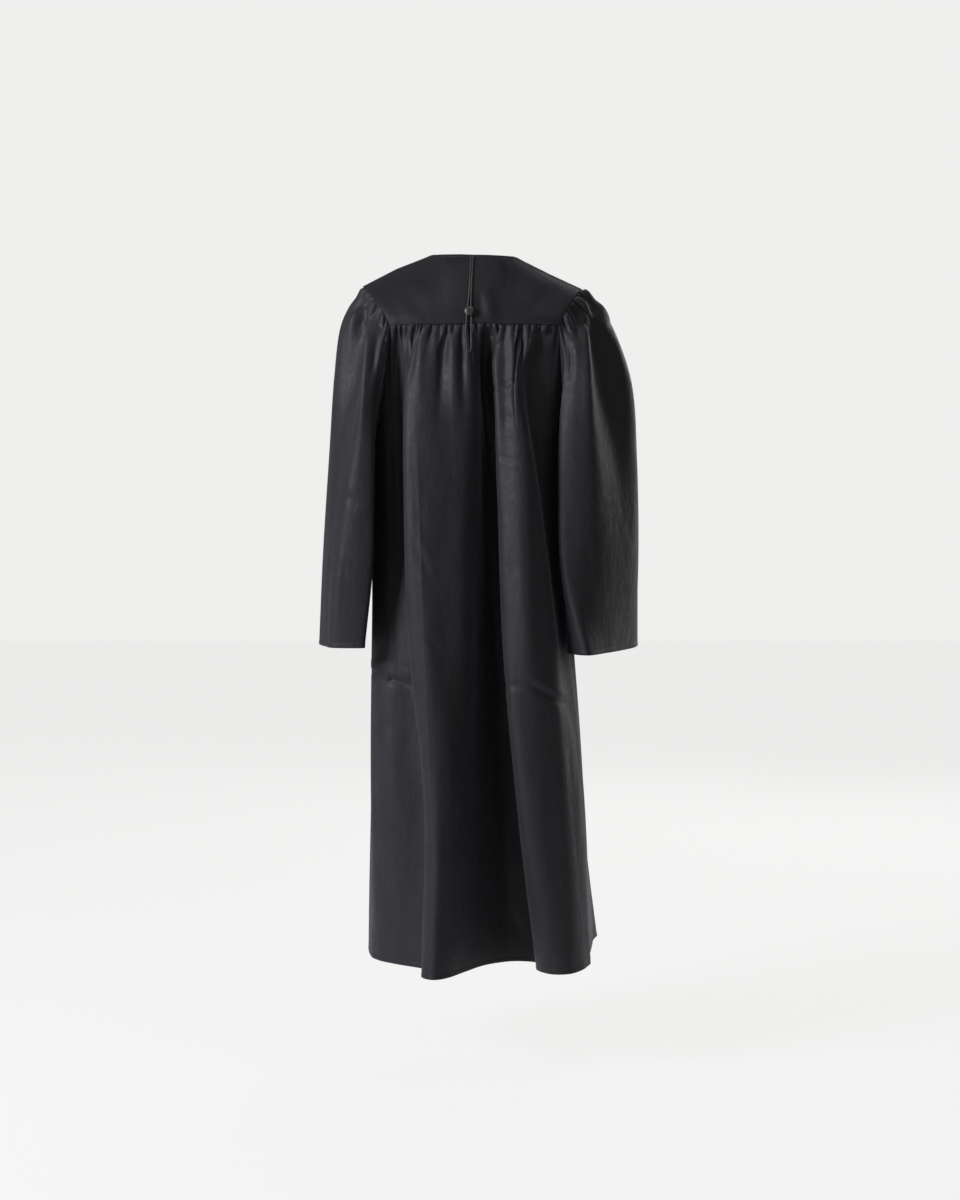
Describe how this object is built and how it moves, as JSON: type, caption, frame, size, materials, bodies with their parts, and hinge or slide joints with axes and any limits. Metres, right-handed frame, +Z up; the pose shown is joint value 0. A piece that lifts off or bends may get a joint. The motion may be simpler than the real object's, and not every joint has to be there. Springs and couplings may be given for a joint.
{
  "type": "graduation gown",
  "caption": "Long black graduation gown in its worn shape, with a smooth yoke, gathered back and fronts, wide gathered sleeves, and a covered button with a hood cord.",
  "frame": {"origin": "middle of the neck opening at the height of the nape, where the gown sits on the wearer", "axes": "+Z up, -Y out of the front, +Y out of the back, +X to the wearer's left"},
  "size_m": [0.6086, 0.4276, 1.3207],
  "materials": {
    "satin_cloth": "black satin-faced polyester with a soft sheen",
    "covered_button": "button covered with the same cloth",
    "cord": "thin braided black cord"
  },
  "bodies": {
    "root": {"yoke_back": "satin_cloth", "yoke_front_left": "satin_cloth", "yoke_front_right": "satin_cloth", "back_panel": "satin_cloth", "front_left": "satin_cloth", "front_right": "satin_cloth", "front_placket": "satin_cloth", "sleeve_left": "satin_cloth", "sleeve_right": "satin_cloth", "hood_button": "covered_button", "hood_cord": "cord"}
  },
  "joints": []
}
